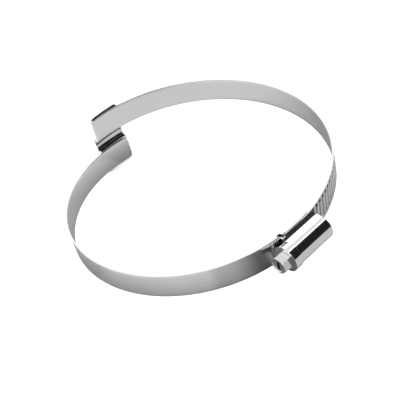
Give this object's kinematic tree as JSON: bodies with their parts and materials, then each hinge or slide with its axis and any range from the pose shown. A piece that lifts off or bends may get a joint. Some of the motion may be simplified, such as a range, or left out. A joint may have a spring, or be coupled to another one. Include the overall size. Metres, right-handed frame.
{
  "type": "worm-drive band clamp",
  "caption": "Steel band clamp for wire-wound hose: a grooved and a plain strap on a helix, joined by a raised bridge and tightened by a worm screw in a barrel housing.",
  "frame": {"origin": "centre of the clamped hose, level with the middle of the band at the worm housing", "axes": "+Z along the hose's axis, +X towards the worm housing, the screw's head points to -Y"},
  "size_m": [0.1359, 0.122, 0.0316],
  "materials": {
    "strap_steel": "satin, fine grain along the band",
    "bridge_steel": "satin",
    "housing_steel": "bright",
    "screw_steel": "bright"
  },
  "bodies": {
    "clamp": {"toothed_strap": "strap_steel", "plain_strap": "strap_steel", "bridge": "bridge_steel", "housing": "housing_steel"},
    "screw": {"worm_screw": "screw_steel"}
  },
  "joints": [
    {"name": "worm_turn", "type": "hinge", "parent": "clamp", "child": "screw", "pos_m": [0.06595, 0, 0], "axis": [0, 1, 0], "continuous": true, "deforming": ["toothed_strap"]}
  ]
}
